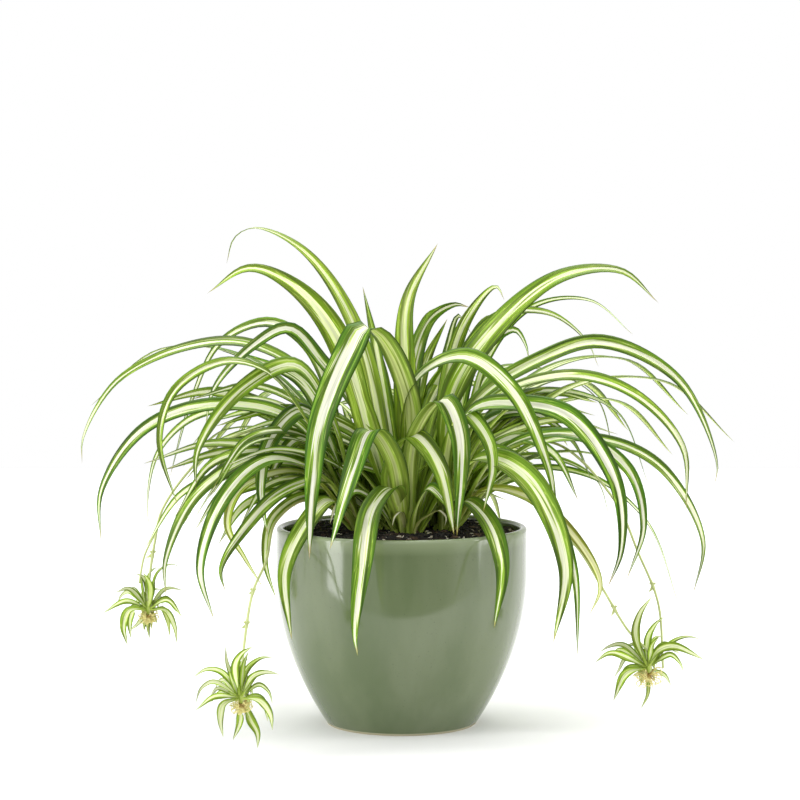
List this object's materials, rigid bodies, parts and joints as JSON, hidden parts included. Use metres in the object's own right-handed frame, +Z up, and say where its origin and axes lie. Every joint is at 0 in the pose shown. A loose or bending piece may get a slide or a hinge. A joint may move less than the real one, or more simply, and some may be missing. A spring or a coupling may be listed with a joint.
{
  "type": "potted spider plant",
  "caption": "Spider plant with arching white-striped leaves, pale runners and baby plants, in a round glazed ceramic pot that stands on its flat foot.",
  "frame": {"origin": "centre of the pot's flat underside, on the surface that it stands on", "axes": "+Z up; -Y is the front that the picture shows; +X is to the right in that view"},
  "size_m": [0.4882, 0.3931, 0.3573],
  "materials": {
    "glazed_pot": "sage green glossy glaze on stoneware, unglazed at the foot",
    "soil": "dark crumbly potting soil of bark and peat, matt",
    "leaf": "satin leaf, green margins with a cream stripe along the middle",
    "runner": "pale yellow-green flowering stem, satin",
    "root": "ochre fleshy root nubs, matt"
  },
  "bodies": {
    "root": {"pot": "glazed_pot", "potting_soil": "soil", "rosette": "leaf", "runner_upper_left": "runner", "runner_lower_left": "runner", "runner_right_outer": "runner", "runner_right_inner": "runner", "plantlet_upper_left": "leaf", "plantlet_lower_left": "leaf", "plantlet_right": "leaf", "roots_upper_left": "root", "roots_lower_left": "root", "roots_right": "root"}
  },
  "joints": []
}
